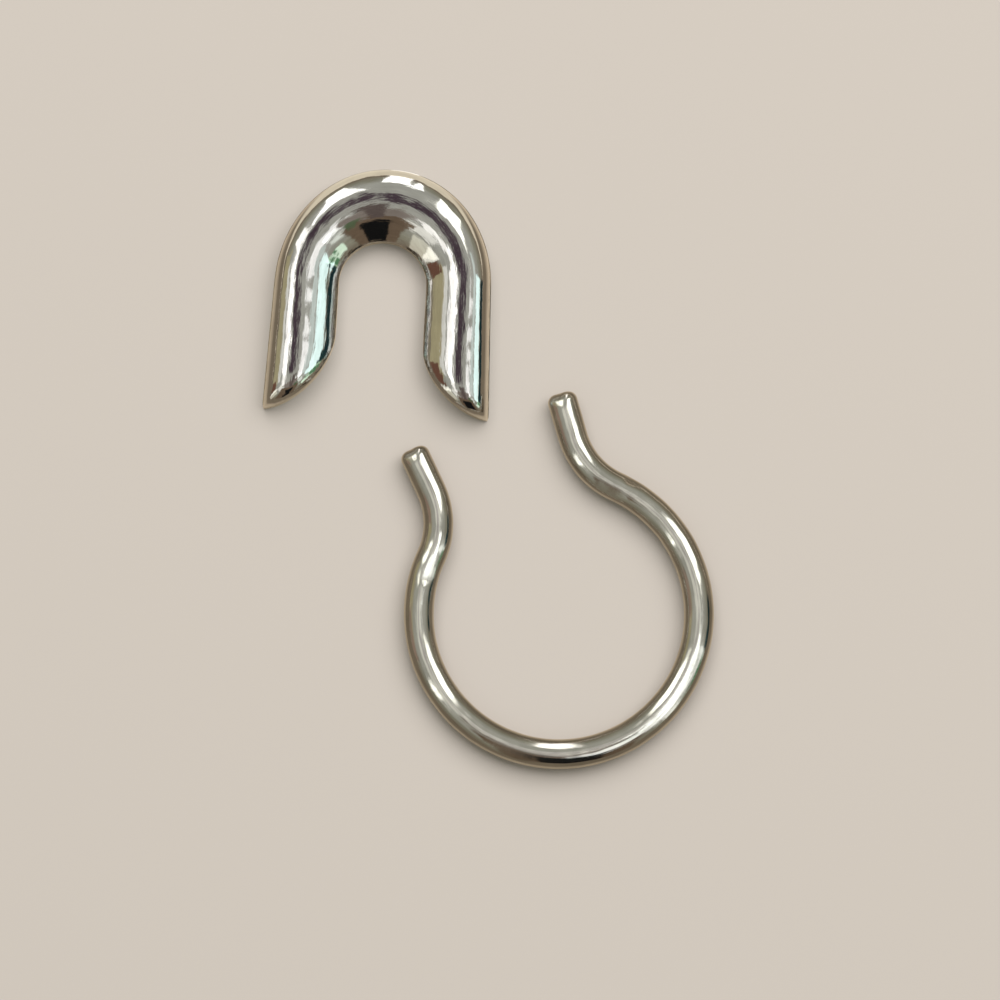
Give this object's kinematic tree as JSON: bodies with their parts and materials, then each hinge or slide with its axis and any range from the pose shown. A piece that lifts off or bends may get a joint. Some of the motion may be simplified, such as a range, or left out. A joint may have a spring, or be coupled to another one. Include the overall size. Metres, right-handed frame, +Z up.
{
  "type": "septum ring",
  "caption": "Open omega-shaped ring of round polished wire for a septum piercing, lying beside the domed, hollow U-shaped cover that slips over its ends.",
  "frame": {"origin": "middle of the whole layout in plan, on the surface that both pieces lie on", "axes": "+X to the right and +Y away from the viewer in the picture's view, +Z up from the surface; the ring opens towards +Y, turned 20.6 degrees to the left"},
  "size_m": [0.018, 0.024, 0.0016],
  "materials": {
    "polished_wire": "bright drawn stainless steel wire, polished, with fine scratches along it and marks of pliers at the bends",
    "mirror_shell": "mirror-polished stainless steel, slightly wavy, with a few small dents over the arch"
  },
  "bodies": {
    "root": {"wire_ring": "polished_wire", "cover": "mirror_shell"}
  },
  "joints": []
}
